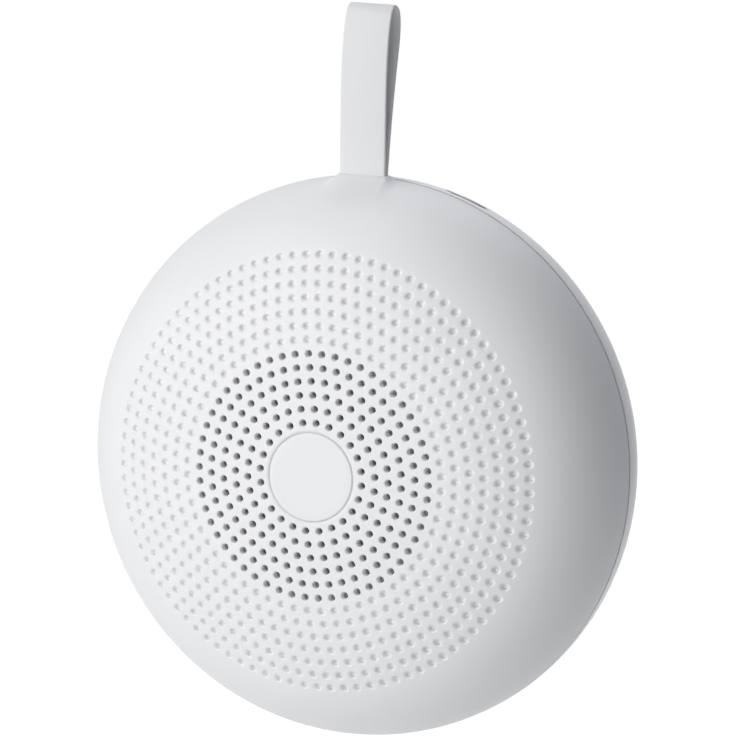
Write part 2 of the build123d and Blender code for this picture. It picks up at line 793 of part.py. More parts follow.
# ---- keys: each cap bears on the plunger of its own switch
stem_radius = flange_radius - key_flange_thickness - key_stem_length
switch_radius = stem_radius - plunger_proud
key_face_radius = barrel_radius(key_depth - parting_depth) + key_proud
keys = {}
plungers = {}
for key_name, key_angle in zip(key_names, key_angles):
    with BuildPart() as key:
        with BuildSketch(rim_plane(key_angle, flange_radius - key_flange_thickness, key_depth)):
            SlotOverall(2 * half_flange, key_width + 2 * key_flange_margin)
        extrude(amount=key_flange_thickness)
        with BuildSketch(rim_plane(key_angle, flange_radius, key_depth)):
            SlotOverall(key_length, key_width)
        extrude(amount=key_face_radius - flange_radius)
        with BuildSketch(rim_plane(key_angle, stem_radius, key_depth)):
            Circle(key_stem_radius)
        extrude(amount=key_stem_length)
    key.part.label = key_name + "_key"
    keys[key_name] = key.part
    with BuildPart() as plunger:
        with BuildSketch(rim_plane(key_angle, stem_radius, key_depth)):
            Circle(plunger_radius)
        extrude(amount=-plunger_length)
    plunger.part.label = key_name + "_plunger"
    plungers[key_name] = plunger.part

with BuildPart() as tact_switches:
    for key_angle in key_angles:
        with BuildSketch(rim_plane(key_angle, switch_radius, key_depth)):
            Rectangle(switch_length, switch_height)
        extrude(amount=-switch_depth)
        with BuildSketch(rim_plane(key_angle, switch_radius, key_depth)):
            Circle(plunger_radius + plunger_clearance)
        extrude(amount=plunger_proud - plunger_length - 2 * key_travel, mode=Mode.SUBTRACT)
tact_switches.part.label = "tact_switches"

# ---- battery on its foam pad
with BuildPart() as battery_pad:
    with BuildSketch(face_plane(floor_depth)):
        Rectangle(battery_length - 2 * pad_inset, battery_width - 2 * pad_inset)
    extrude(amount=pad_thickness)
battery_pad.part.label = "battery_pad"

battery_back = floor_depth - pad_thickness
with BuildPart() as battery:
    with BuildSketch(face_plane(battery_back)):
        RectangleRounded(battery_length, battery_width, battery_corner_radius)
    extrude(amount=battery_thickness)
battery.part.label = "battery"


# ---- flat twin leads, between the board's sockets and what they feed
def lead_point(z, depth):
    """A point of a lead's route, for a sketch on the YZ plane: height over the axis, and depth."""
    return (apex_y + depth, axis_z + z)


socket_middle = board_front - lead_socket_height / 2
socket_top = lead_socket_width / 2 - lead_socket_drop
battery_edge = -battery_width / 2
battery_drop = battery_edge - window_gap / 2
battery_middle = battery_back - battery_thickness / 2
with BuildPart() as battery_leads:
    with BuildSketch(Plane.YZ.offset(lead_socket_spread - lead_width / 2)):
        with BuildLine():
            FilletPolyline(
                lead_point(battery_edge, battery_middle),
                lead_point(battery_drop, battery_middle),
                lead_point(battery_drop, socket_middle),
                lead_point(socket_top, socket_middle),
                radius=window_gap / 2 - locating_gap,
            )
        trace(line_width=lead_thickness)
    extrude(amount=lead_width)
battery_leads.part.label = "battery_leads"

terminal_face = terminal_top - terminal_thickness
terminal_middle = plate_depth + terminal_height / 2
with BuildPart() as speaker_leads:
    with BuildSketch(Plane.YZ.offset(-lead_width / 2)):
        with BuildLine():
            FilletPolyline(
                lead_point(terminal_face, terminal_middle),
                lead_point(terminal_face - 2 * lead_bend, terminal_middle),
                lead_point(socket_top + 2 * lead_bend, socket_middle),
                lead_point(socket_top, socket_middle),
                radius=lead_bend,
            )
        trace(line_width=lead_thickness)
    extrude(amount=lead_width)
speaker_leads.part.label = "speaker_leads"

pieces = [
    front_shell,
    centre_badge,
    grille_cloth,
    rear_cover,
    rubber_feet,
    housing_screws,
    strap,
    strap_pin,
    speaker_gasket,
    speaker_frame,
    surround,
    cone,
    dust_cap,
    voice_coil,
    spider,
    top_plate,
    magnet,
    yoke,
    speaker_terminal,
    speaker_screws,
    speaker_leads,
    main_board,
    board_screws,
    sound_chip,
    amplifier_chip,
    capacitors,
    lead_sockets,
    usb_socket,
    usb_tongue,
    tact_switches,
    battery_pad,
    battery,
    battery_leads,
]
os.makedirs("parts", exist_ok=True)
for piece in [built.part for built in pieces] + list(keys.values()) + list(plungers.values()):
    export_step(piece, f"parts/{piece.label}.step")
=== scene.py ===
import json
from math import asin, cos, hypot, pi, radians, sin, sqrt

import bpy
from mathutils import Matrix, Vector
from mathutils.geometry import delaunay_2d_cdt


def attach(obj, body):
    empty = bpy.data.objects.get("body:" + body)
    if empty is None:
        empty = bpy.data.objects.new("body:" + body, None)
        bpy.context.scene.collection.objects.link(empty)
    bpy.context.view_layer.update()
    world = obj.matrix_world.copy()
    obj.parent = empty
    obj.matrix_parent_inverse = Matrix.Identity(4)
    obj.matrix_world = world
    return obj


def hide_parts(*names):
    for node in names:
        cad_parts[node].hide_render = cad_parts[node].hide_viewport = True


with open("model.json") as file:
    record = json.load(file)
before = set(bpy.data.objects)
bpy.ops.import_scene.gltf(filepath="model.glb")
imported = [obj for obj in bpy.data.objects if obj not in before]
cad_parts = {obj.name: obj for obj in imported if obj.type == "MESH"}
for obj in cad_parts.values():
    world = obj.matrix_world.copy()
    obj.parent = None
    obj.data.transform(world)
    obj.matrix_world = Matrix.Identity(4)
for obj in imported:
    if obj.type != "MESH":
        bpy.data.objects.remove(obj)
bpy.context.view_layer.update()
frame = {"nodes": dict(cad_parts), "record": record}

# A portable white noise sound machine that hangs by a strap: the finished surfaces round its frame.
# Metres, +Z up, the grille faces -Y. "Depth" runs back from the apex of the dome, "radius" is
# measured from the housing's axis, and angles round that axis are seen from the front, from +X.

MM = 0.001

# ---- sizes that the finished pieces share with the frame
BODY_RADIUS = 51.75 * MM
DOME_DEPTH = 26.97 * MM
CROWN_RADIUS = 168.0 * MM
CROWN_SLOPE = radians(8.15)
FLANK_SLOPE = radians(28.8)
RIM_STRAIGHT = 0.45 * MM
COVER_DEPTH = 8.1 * MM
SHELL_WALL = 2.2 * MM

RING_PITCH = 2.5 * MM
PLACES_PER_RING = 6
FIRST_RING = 4
LAST_OPEN_RING = 9
LAST_RING = 16
PATTERN_TURN = radians(-20.1)
GRILLE_THICKNESS = 3.2 * MM
FIELD_RADIUS = 23.4 * MM
LAND_DEPTH = 5.2 * MM
LAND_RADIUS = 30.0 * MM

BADGE_RADIUS = 8.2 * MM
BADGE_GAP = 0.15 * MM
BADGE_THICKNESS = 1.4 * MM

STRAP_WIDTH = 9.0 * MM
STRAP_THICKNESS = 0.68 * MM
STRAP_SETBACK = 3.4 * MM
TONGUE_THICKNESS = 1.9 * MM
LOOP_RISE = 31.85 * MM
LOOP_LEAN = 3.05 * MM
COLLAR_RISE = 0.75 * MM
COLLAR_WALL = 0.15 * MM


# ---- the dome: three tangent arcs from the apex to the widest line
def next_arc(arc, radius, slope):
    """The arc of this radius that carries on from another one at the slope where that one ends."""
    centre, centre_depth, old_radius = arc
    return (
        centre + (old_radius - radius) * sin(slope),
        centre_depth - (old_radius - radius) * cos(slope),
        radius,
    )


def arc_reach(start, end):
    """How far outwards and back an arc of radius 1 goes between these slopes."""
    return Vector((sin(end) - sin(start), cos(start) - cos(end)))


# the flank and the shoulder share what is left between the crown and the widest line
left_over = Vector((BODY_RADIUS, DOME_DEPTH)) - CROWN_RADIUS * arc_reach(0.0, CROWN_SLOPE)
flank_reach = arc_reach(CROWN_SLOPE, FLANK_SLOPE)
shoulder_reach = arc_reach(FLANK_SLOPE, pi / 2)
flank_radius = left_over.cross(shoulder_reach) / flank_reach.cross(shoulder_reach)
shoulder_radius = flank_reach.cross(left_over) / flank_reach.cross(shoulder_reach)
crown = (0.0, CROWN_RADIUS, CROWN_RADIUS)
flank = next_arc(crown, flank_radius, CROWN_SLOPE)
shoulder = next_arc(flank, shoulder_radius, FLANK_SLOPE)
DOME_ARCS = (
    (crown, 0.0, CROWN_SLOPE),
    (flank, CROWN_SLOPE, FLANK_SLOPE),
    (shoulder, FLANK_SLOPE, pi / 2),
)

parting_depth = DOME_DEPTH + RIM_STRAIGHT
back_depth = parting_depth + COVER_DEPTH
strap_depth = parting_depth - STRAP_SETBACK
loop_depth = strap_depth + LOOP_LEAN
apex_y = -loop_depth
axis_z = STRAP_THICKNESS - LOOP_RISE - BODY_RADIUS
housing_centre = Vector((0, apex_y + back_depth / 2, axis_z))


def dome(radius):
    """Depth, slope and run of the dome at this radius. The run is the way along its surface."""
    run = 0.0
    for (centre, centre_depth, arc_radius), start, end in DOME_ARCS:
        slope = asin(min((radius - centre) / arc_radius, 1.0))
        if slope <= end or end == pi / 2:
            return centre_depth - arc_radius * cos(slope), slope, run + arc_radius * (slope - start)
        run += arc_radius * (end - start)


def shoulder_at(depth):
    """Radius of the dome at this depth, on its shoulder."""
    rise = (shoulder[1] - depth) / shoulder_radius
    return shoulder[0] + shoulder_radius * sqrt(1 - rise * rise)


def on_axis(radius, angle, depth):
    """The point at this radius, angle and depth."""
    return Vector((radius * cos(angle), apex_y + depth, axis_z + radius * sin(angle)))


# ---- mesh makers
# points nearer than this are one point to the triangulation
MERGE_WITHIN = 1e-8
# a point with this normal is shaded by the faces round it
NO_NORMAL = Vector((0, 0, 0))


def make_piece(name, skin, material, node):
    """A closed mesh that rides on the housing and stands for the node named."""
    mesh = bpy.data.meshes.new(name)
    mesh.from_pydata(skin.points, [], skin.faces)
    mesh.update()
    for polygon in mesh.polygons:
        polygon.use_smooth = True
    if any(normal != NO_NORMAL for normal in skin.normals):
        mesh.normals_split_custom_set_from_vertices(skin.normals)
    piece = bpy.data.objects.new(name, mesh)
    bpy.context.scene.collection.objects.link(piece)
    mesh.materials.append(material)
    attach(piece, "housing")
    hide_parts(node)


def triangulate(spots, edges):
    """Triangles over everything that the spots span, each as three places in their list."""
    _, _, triangles, kept, _, _ = delaunay_2d_cdt(spots, edges, [], 0, MERGE_WITHIN, True)
    return [[kept[corner][0] for corner in triangle] for triangle in triangles]


class Skin:
    """Points, faces and surface normals of one mesh, built up ring by ring."""

    def __init__(self):
        self.points = []
        self.normals = []
        self.faces = []

    def add(self, point, normal=NO_NORMAL):
        self.points.append(point)
        self.normals.append(normal)
        return len(self.points) - 1

    def ring(self, points):
        return [self.add(point) for point in points]

    def join(self, outer, inner):
        """Quads between two rings of as many points, both counter-clockwise seen from outside."""
        count = len(outer)
        for step in range(count):
            after = (step + 1) % count
            self.faces.append((outer[step], outer[after], inner[after], inner[step]))

    def sink(self, ring, deeper):
        """Joins each deeper ring of points to the one before it, and gives back the last."""
        for points in deeper:
            below = self.ring(points)
            self.join(ring, below)
            ring = below
        return ring

    def close_form(self, layers):
        """Joins each layer of points to the next one and puts a face over both ends."""
        first = self.ring(layers[0])
        self.faces.append(tuple(reversed(first)))
        self.faces.append(tuple(self.sink(first, layers[1:])))


# ---- front shell: the perforated, dimpled dome
# radius and depth in millimetres, from the lip inwards: the soft lip of a hole, and a whole dimple
HOLE_PROFILE = (
    (0.88, 0.0), (0.80, 0.012), (0.73, 0.05), (0.67, 0.12), (0.62, 0.26), (0.59, 0.55), (0.56, 1.1),
)
DIMPLE_PROFILE = (
    (0.97, 0.0), (0.87, 0.016), (0.77, 0.065), (0.67, 0.15), (0.58, 0.27), (0.51, 0.46),
    (0.46, 0.72), (0.41, 0.95), (0.26, 1.05),
)
BORE_RADIUS = 0.52 * MM
WEB_MARGIN = 0.08 * MM
PATTERN_MARGIN = 3 * WEB_MARGIN
SEAT_SLOPE = ((0.45, 0.0), (0.34, 0.02), (0.20, 0.07), (0.06, 0.13), (0.0, 0.18))
PARTING_EDGE = 0.08 * MM
LEDGE_REACH = 0.19 * MM
LEDGE_BOTTOM = 0.10 * MM
HOLE_STEPS = 20
ROUND_STEPS = 240
SEAT_STEPS = 96
SHOULDER_STEPS = 22
SLOT_CORNER = 0.5 * MM
SLOT_EDGE = 0.03 * MM
SLOT_HALF = STRAP_WIDTH / 2
SLOT_THICK = TONGUE_THICKNESS / 2
COLLAR_TOP = BODY_RADIUS + COLLAR_RISE
SIDE_FLARE = 2.8 * MM
FRONT_FLARE = 6.5 * MM
BACK_FLARE = 1.8 * MM
FLARE_STEPS = 10
CORNER_STEPS = 6
SIDE_STEPS = 12
WALL_STEPS = 6
SMALL_STEP = 0.01 * MM
EDGE_TURNS = (0.35, 0.7, 1.0)


def rounded_edge(size):
    """Steps over a rounded edge of this size: how far along and how far below its first face."""
    return [(size * sin(turn * pi / 2), size * (1 - cos(turn * pi / 2))) for turn in EDGE_TURNS]


def pattern():
    """Radius and angle of every hole's and dimple's centre, and whether it goes right through."""
    for ring in range(FIRST_RING, LAST_RING + 1):
        places = PLACES_PER_RING * ring
        for place in range(places):
            angle = PATTERN_TURN + 2 * pi * place / places
            yield ring * RING_PITCH, angle, ring <= LAST_OPEN_RING


def collar_rise(x, depth):
    """How far the strap's collar, flat on top and flared below, stands above the dome here."""
    half, thick = SLOT_HALF + COLLAR_WALL, SLOT_THICK + COLLAR_WALL
    near_x = min(half, max(-half, x))
    near_depth = min(strap_depth + thick, max(strap_depth - thick, depth))
    flare = FRONT_FLARE if depth < strap_depth else BACK_FLARE
    away = hypot((x - near_x) / SIDE_FLARE, (depth - near_depth) / flare)
    if away >= 1:
        return 0.0
    return (COLLAR_TOP - sqrt(shoulder_at(near_depth) ** 2 - near_x * near_x)) * (1 - away) ** 2


def collar_normal(x, depth):
    def height(x, depth):
        return sqrt(shoulder_at(depth) ** 2 - x * x) + collar_rise(x, depth)

    aside = height(x + SMALL_STEP, depth) - height(x - SMALL_STEP, depth)
    along = height(x, depth + SMALL_STEP) - height(x, depth - SMALL_STEP)
    return Vector((-aside, -along, 2 * SMALL_STEP)).normalized()


def on_collar(x, z):
    return z > 0 and collar_rise(x, dome(hypot(x, z))[0]) > 0


def dome_point(x, z, sunk=0.0):
    """A point of the dome in front of (x, z), measured from the axis, or that much behind it."""
    depth = dome(hypot(x, z))[0]
    rise = collar_rise(x, depth) if z > 0 else 0.0
    return Vector((x, apex_y + depth + sunk, axis_z + z + rise))


def dome_normal(x, z):
    radius = hypot(x, z)
    depth, slope, _ = dome(radius)
    if on_collar(x, z):
        return collar_normal(x, depth)
    return Vector((sin(slope) * x / radius, -cos(slope), sin(slope) * z / radius))


def laid_flat(x, z):
    """Where that point of the dome lies once the dome is unrolled into a disc."""
    radius = hypot(x, z)
    stretch = dome(radius)[2] / radius
    return Vector((x * stretch, z * stretch))


def slot_outline(grow, flare=0.0):
    """(x, depth) round the strap's slot, counter-clockwise seen from above the strap."""
    half = SLOT_HALF + grow
    thick = SLOT_THICK + grow
    corner = SLOT_CORNER + grow
    corners = (
        (half - corner, thick - corner, 0.0),
        (corner - half, thick - corner, pi / 2),
        (corner - half, corner - thick, pi),
        (half - corner, corner - thick, 3 * pi / 2),
    )
    outline = []
    for x, offset, start in corners:
        reach = FRONT_FLARE if offset > 0 else BACK_FLARE
        for step in range(CORNER_STEPS):
            turn = start + step * pi / 2 / (CORNER_STEPS - 1)
            forward = offset + corner * sin(turn) + flare * reach * sin(turn)
            outline.append((x + (corner + flare * SIDE_FLARE) * cos(turn), strap_depth - forward))
        if start in (0.0, pi):
            side = 1 if start == 0.0 else -1
            for step in range(1, SIDE_STEPS):
                along = 1 - 2 * step / SIDE_STEPS
                outline.append((side * along * (half - corner), outline[-1][1]))
    return outline


def above_slot(outline):
    """Where the dome would be over these (x, depth) if it had no collar, measured from the axis."""
    return [(x, sqrt(shoulder_at(depth) ** 2 - x * x)) for x, depth in outline]


def circle(radius, steps, x=0.0, z=0.0):
    return [
        (x + radius * cos(2 * pi * step / steps), z + radius * sin(2 * pi * step / steps))
        for step in range(steps)
    ]


def flat_ring(places, depth):
    """These (x, z), measured from the axis, all at one depth."""
    return [Vector((x, apex_y + depth, axis_z + z)) for x, z in places]


def build_shell(material):
    skin = Skin()
    flat = []
    walls = []
    recess_of = {}

    def surface_ring(places, closed=True):
        """Points on the dome, which the triangulation takes up; a closed ring bounds a recess."""
        ring = []
        for x, z in places:
            ring.append(skin.add(dome_point(x, z), dome_normal(x, z)))
            flat.append(laid_flat(x, z))
        if closed:
            walls.extend((ring[step - 1], ring[step]) for step in range(len(ring)))
            recess_of.update((point, ring[0]) for point in ring)
        return ring

    rim = surface_ring(circle(BODY_RADIUS, ROUND_STEPS), closed=False)
    walls.extend((rim[step - 1], rim[step]) for step in range(ROUND_STEPS))
    holes = []
    for radius, angle, is_open in pattern():
        x, z = radius * cos(angle), radius * sin(angle)
        profile = HOLE_PROFILE if is_open else DIMPLE_PROFILE
        ring = surface_ring(circle(profile[0][0] * MM + WEB_MARGIN, HOLE_STEPS, x, z))
        holes.append((ring, x, z, profile, is_open))
    seat_radius = BADGE_RADIUS + BADGE_GAP
    seat = surface_ring(circle(seat_radius + SEAT_SLOPE[0][0] * MM + WEB_MARGIN, SEAT_STEPS))
    slot = surface_ring(above_slot(slot_outline(SLOT_EDGE)))
    for step in range(FLARE_STEPS + 1):
        surface_ring(above_slot(slot_outline(COLLAR_WALL, step / FLARE_STEPS)), closed=False)

    pattern_edge = LAST_RING * RING_PITCH + DIMPLE_PROFILE[0][0] * MM + PATTERN_MARGIN
    start = dome(pattern_edge)[1]
    for step in range(SHOULDER_STEPS):
        slope = start + (pi / 2 - start) * step / SHOULDER_STEPS
        radius = shoulder[0] + shoulder_radius * sin(slope)
        clear = [place for place in circle(radius, ROUND_STEPS) if not on_collar(*place)]
        surface_ring(clear, closed=False)

    # a triangle whose corners are all on one recess's edge would close that recess
    for corners in triangulate(flat, walls):
        recesses = {recess_of.get(corner) for corner in corners}
        if len(recesses) > 1 or None in recesses:
            skin.faces.append(tuple(corners))

    # holes go through to the flat back of the grille, and dimples end in a small floor
    through = []
    for ring, x, z, profile, is_open in holes:
        deeper = []
        for radius, sunk in profile:
            places = circle(radius * MM, HOLE_STEPS, x, z)
            deeper.append([dome_point(*place, sunk * MM) for place in places])
        if is_open:
            deeper.append(flat_ring(circle(BORE_RADIUS, HOLE_STEPS, x, z), GRILLE_THICKNESS))
            through.append(skin.sink(ring, deeper))
        else:
            skin.faces.append(tuple(skin.sink(ring, deeper)))

    # seat of the badge
    deeper = []
    for beyond, sunk in SEAT_SLOPE:
        places = circle(seat_radius + beyond * MM, SEAT_STEPS)
        deeper.append([dome_point(*place, sunk * MM) for place in places])
    deeper.append(flat_ring(circle(seat_radius, SEAT_STEPS), BADGE_THICKNESS))
    skin.faces.append(tuple(skin.sink(seat, deeper)))

    # slot of the strap
    deeper = []
    for narrower, sunk in [*rounded_edge(SLOT_EDGE), (SLOT_EDGE, COLLAR_RISE + SHELL_WALL)]:
        height = axis_z + COLLAR_TOP - sunk
        outline = slot_outline(SLOT_EDGE - narrower)
        deeper.append([Vector((x, apex_y + depth, height)) for x, depth in outline])
    skin.faces.append(tuple(skin.sink(slot, deeper)))

    # rim, parting face and inner wall, back to the edge of the grille's field
    inner = shoulder_radius - SHELL_WALL
    stations = [
        (BODY_RADIUS, parting_depth - PARTING_EDGE),
        *[
            (BODY_RADIUS - below, parting_depth - PARTING_EDGE + along)
            for along, below in rounded_edge(PARTING_EDGE)
        ],
        (BODY_RADIUS - PARTING_EDGE, parting_depth + LEDGE_REACH),
        (BODY_RADIUS - LEDGE_BOTTOM, parting_depth + LEDGE_REACH),
        (BODY_RADIUS - LEDGE_BOTTOM, parting_depth),
        (BODY_RADIUS - SHELL_WALL, parting_depth),
    ]
    for step in range(WALL_STEPS + 1):
        slope = pi / 2 - step * (pi / 2 - FLANK_SLOPE) / WALL_STEPS
        stations.append((shoulder[0] + inner * sin(slope), DOME_DEPTH - inner * cos(slope)))
    stations += [
        (LAND_RADIUS, LAND_DEPTH),
        (FIELD_RADIUS, LAND_DEPTH),
        (FIELD_RADIUS, GRILLE_THICKNESS),
    ]
    deeper = [flat_ring(circle(radius, ROUND_STEPS), depth) for radius, depth in stations]
    field = skin.sink(rim, deeper)

    # flat back of the grille, between its holes
    backs = [field, *through]
    order = [point for ring in backs for point in ring]
    place_of = {point: place for place, point in enumerate(order)}
    bore_of = {point: bore[0] for bore in through for point in bore}
    edges = [
        (place_of[ring[step - 1]], place_of[ring[step]])
        for ring in backs
        for step in range(len(ring))
    ]
    spots = [Vector((skin.points[point].x, skin.points[point].z)) for point in order]
    for places in triangulate(spots, edges):
        corners = [order[place] for place in places]
        bores = {bore_of.get(corner) for corner in corners}
        if len(bores) > 1 or None in bores:
            skin.faces.append(tuple(reversed(corners)))
    make_piece("front_dome", skin, material, "front_shell")


# ---- centre badge: a bare flat disc with a soft edge
BADGE_FACE_RADIUS = 8.10 * MM
BADGE_EDGE = 0.14 * MM
GROOVE_DEPTH = 0.45 * MM
SEAT_CLEARANCE = 0.01 * MM
BADGE_INNER_RINGS = (0.5, 0.9)


def build_badge(material):
    face_depth = dome(BADGE_RADIUS)[0]
    rings = [(BADGE_FACE_RADIUS * share, face_depth) for share in BADGE_INNER_RINGS]
    rings.append((BADGE_FACE_RADIUS - BADGE_EDGE, face_depth))
    rings += [
        (BADGE_FACE_RADIUS - BADGE_EDGE + aside, face_depth + below)
        for aside, below in rounded_edge(BADGE_EDGE)
    ]
    skirt = BADGE_RADIUS + BADGE_GAP - SEAT_CLEARANCE
    rings += [
        (BADGE_FACE_RADIUS, face_depth + GROOVE_DEPTH),
        (skirt, face_depth + GROOVE_DEPTH),
        (skirt, BADGE_THICKNESS - SEAT_CLEARANCE),
    ]
    skin = Skin()
    skin.close_form(
        [
            [on_axis(radius, 2 * pi * step / SEAT_STEPS, depth) for step in range(SEAT_STEPS)]
            for radius, depth in rings
        ]
    )
    make_piece("badge_disc", skin, material, "centre_badge")


# ---- strap: one ribbon that runs up the front, over the top and down the back
# its outer face in millimetres: behind the middle of its root, and below the top of the loop
STRAP_OUTLINE = (
    (-0.95, 36.0),
    (-0.95, 33.5),
    (-0.95, 31.1),
    (-0.95, 24.0),
    (-0.94, 17.0),
    (-0.84, 13.6),
    (-0.60, 10.0),
    (-0.24, 7.3),
    (0.20, 4.8),
    (0.86, 2.7),
    (1.72, 0.9),
    (3.20, 0.0),
    (5.02, 0.7),
    (5.88, 2.2),
    (6.08, 4.3),
    (5.83, 6.7),
    (5.15, 9.6),
    (4.14, 13.6),
    (2.82, 19.5),
    (1.78, 25.4),
    (0.95, 31.1),
    (0.95, 33.5),
    (0.95, 36.0),
)
STRAP_STEPS = 6
STRAP_CORNER_STEPS = 5
STRAP_CORNERS = ((1, 1, 0.0), (-1, 1, pi / 2), (-1, -1, pi), (1, -1, 3 * pi / 2))
STRAP_ROUNDING = 0.46
ROOT_THICKNESS = TONGUE_THICKNESS / 2
THINNED_BY = 12.0 * MM


def through_points(points, steps):
    """A smooth line through the points, and the way that it runs at each of its own points."""
    line = []
    for place in range(1, len(points) - 2):
        before, start, end, after = points[place - 1 : place + 3]
        first = (end - before) / 2
        last = (after - start) / 2
        for step in range(steps):
            t = step / steps
            bend = 3 * (end - start) - 2 * first - last
            twist = first + last - 2 * (end - start)
            point = start + first * t + bend * t**2 + twist * t**3
            line.append((point, first + 2 * bend * t + 3 * twist * t**2))
    return line


def strap_line():
    """End to end, (y, z) of the ribbon's middle, the way it faces outwards, and its thickness."""
    root_y = strap_depth - loop_depth
    outline = [
        Vector((root_y + behind * MM, STRAP_THICKNESS - below * MM))
        for behind, below in STRAP_OUTLINE
    ]
    collar_z = axis_z + COLLAR_TOP
    line = []
    for point, way in through_points(outline, STRAP_STEPS):
        outward = Vector((-way.y, way.x)).normalized()
        thinned = min(1.0, max(0.0, (point.y - collar_z) / THINNED_BY))
        thickness = ROOT_THICKNESS + (STRAP_THICKNESS - ROOT_THICKNESS) * thinned
        line.append((point - outward * thickness / 2, outward, thickness))
    return line


def strap_section(thickness):
    """(x, how far outwards) round the ribbon's cross section."""
    corner = STRAP_ROUNDING * thickness
    section = []
    for side_x, side_out, start in STRAP_CORNERS:
        for step in range(STRAP_CORNER_STEPS):
            turn = start + step * pi / 2 / (STRAP_CORNER_STEPS - 1)
            x = side_x * (STRAP_WIDTH / 2 - corner) + corner * cos(turn)
            out = side_out * (thickness / 2 - corner) + corner * sin(turn)
            section.append((x, out))
    return section


def build_strap(material):
    layers = []
    for middle, outward, thickness in strap_line():
        layers.append(
            [
                Vector((x, middle.x + outward.x * out, middle.y + outward.y * out))
                for x, out in strap_section(thickness)
            ]
        )
    skin = Skin()
    skin.close_form(layers)
    make_piece("strap_ribbon", skin, material, "strap")


# ---- shader groups
CLOUDS_PER_METRE = 55.0
PATCHES_PER_METRE = 180.0
LINE_STRETCH = 0.05


def new_group(name, inputs, outputs):
    """A shader node group with these sockets, and its input and output nodes."""
    group = bpy.data.node_groups.new(name, "ShaderNodeTree")
    for socket, value in inputs:
        kind = "NodeSocketFloat" if isinstance(value, float) else "NodeSocketColor"
        made = group.interface.new_socket(socket, in_out="INPUT", socket_type=kind)
        made.default_value = value
    for socket in outputs:
        kind = "NodeSocketColor" if socket == "Colour" else "NodeSocketFloat"
        group.interface.new_socket(socket, in_out="OUTPUT", socket_type=kind)
    return group, group.nodes.new("NodeGroupInput"), group.nodes.new("NodeGroupOutput")


def add_node(tree, kind, **settings):
    node = tree.nodes.new(kind)
    for key, value in settings.items():
        setattr(node, key, value)
    return node


def spread_of(tree, source, low, high, start=0.3, stop=0.7):
    """Maps a noise's middle part onto the range from low to high."""
    spread = add_node(tree, "ShaderNodeMapRange")
    spread.inputs["From Min"].default_value = start
    spread.inputs["From Max"].default_value = stop
    tree.links.new(source, spread.inputs["Value"])
    for socket, value in (("To Min", low), ("To Max", high)):
        if isinstance(value, float):
            spread.inputs[socket].default_value = value
        else:
            tree.links.new(value, spread.inputs[socket])
    return spread.outputs["Result"]


def arithmetic(tree, operation, first, second):
    node = add_node(tree, "ShaderNodeMath", operation=operation)
    for socket, value in zip(node.inputs, (first, second)):
        if isinstance(value, float):
            socket.default_value = value
        else:
            tree.links.new(value, socket)
    return node.outputs["Value"]


def mean_of(tree, first, second):
    return arithmetic(tree, "MULTIPLY", arithmetic(tree, "ADD", first, second), 0.5)


def noise_at(tree, place, scale, detail=3.0):
    noise = add_node(tree, "ShaderNodeTexNoise")
    noise.inputs["Detail"].default_value = detail
    tree.links.new(place, noise.inputs["Vector"])
    if isinstance(scale, float):
        noise.inputs["Scale"].default_value = scale
    else:
        tree.links.new(scale, noise.inputs["Scale"])
    return noise.outputs["Fac"]


def scaled_colour(tree, colour, amount):
    scaled = add_node(tree, "ShaderNodeVectorMath", operation="SCALE")
    tree.links.new(colour, scaled.inputs["Vector"])
    tree.links.new(amount, scaled.inputs["Scale"])
    return scaled.outputs["Vector"]


def moulded_skin_group():
    """The skin of a moulded part: fine spark-eroded grain, faint cloudiness and uneven gloss."""
    group, given, made = new_group(
        "moulded_skin",
        [
            ("Colour", (0.8, 0.8, 0.8, 1)),
            ("Cloudiness", 0.02),
            ("Roughness", 0.45),
            ("Gloss Spread", 0.05),
            ("Grains per Metre", 4000.0),
        ],
        ["Colour", "Roughness", "Height"],
    )
    place = add_node(group, "ShaderNodeTexCoord").outputs["Object"]
    grain = noise_at(group, place, given.outputs["Grains per Metre"])
    clouds = noise_at(group, place, CLOUDS_PER_METRE, detail=4.0)
    darkest = arithmetic(group, "SUBTRACT", 1.0, given.outputs["Cloudiness"])
    shade = spread_of(group, clouds, darkest, 1.0)
    middle, spread = given.outputs["Roughness"], given.outputs["Gloss Spread"]
    smoothest = arithmetic(group, "SUBTRACT", middle, spread)
    roughest = arithmetic(group, "ADD", middle, spread)
    gloss = spread_of(group, mean_of(group, grain, clouds), smoothest, roughest)
    group.links.new(scaled_colour(group, given.outputs["Colour"], shade), made.inputs["Colour"])
    group.links.new(gloss, made.inputs["Roughness"])
    group.links.new(grain, made.inputs["Height"])
    return group


def worked_metal_group():
    """Drawn, rolled or turned metal: fine lines one way, with patches of duller plating."""
    group, given, made = new_group(
        "worked_metal",
        [
            ("Colour", (0.6, 0.6, 0.6, 1)),
            ("Dullness", 0.12),
            ("Roughness", 0.3),
            ("Lines per Metre", 6000.0),
        ],
        ["Colour", "Roughness", "Height"],
    )
    place = add_node(group, "ShaderNodeTexCoord").outputs["Object"]
    squeeze = add_node(group, "ShaderNodeMapping")
    squeeze.inputs["Scale"].default_value = (LINE_STRETCH, 1.0, 1.0)
    group.links.new(place, squeeze.inputs["Vector"])
    drawn = squeeze.outputs["Vector"]
    lines = noise_at(group, drawn, given.outputs["Lines per Metre"], detail=2.0)
    patches = noise_at(group, place, PATCHES_PER_METRE, detail=4.0)
    dullest = arithmetic(group, "SUBTRACT", 1.0, given.outputs["Dullness"])
    shade = spread_of(group, patches, dullest, 1.0)
    smoothest = given.outputs["Roughness"]
    roughest = arithmetic(group, "ADD", smoothest, given.outputs["Dullness"])
    gloss = spread_of(group, mean_of(group, lines, patches), smoothest, roughest)
    group.links.new(scaled_colour(group, given.outputs["Colour"], shade), made.inputs["Colour"])
    group.links.new(gloss, made.inputs["Roughness"])
    group.links.new(lines, made.inputs["Height"])
    return group


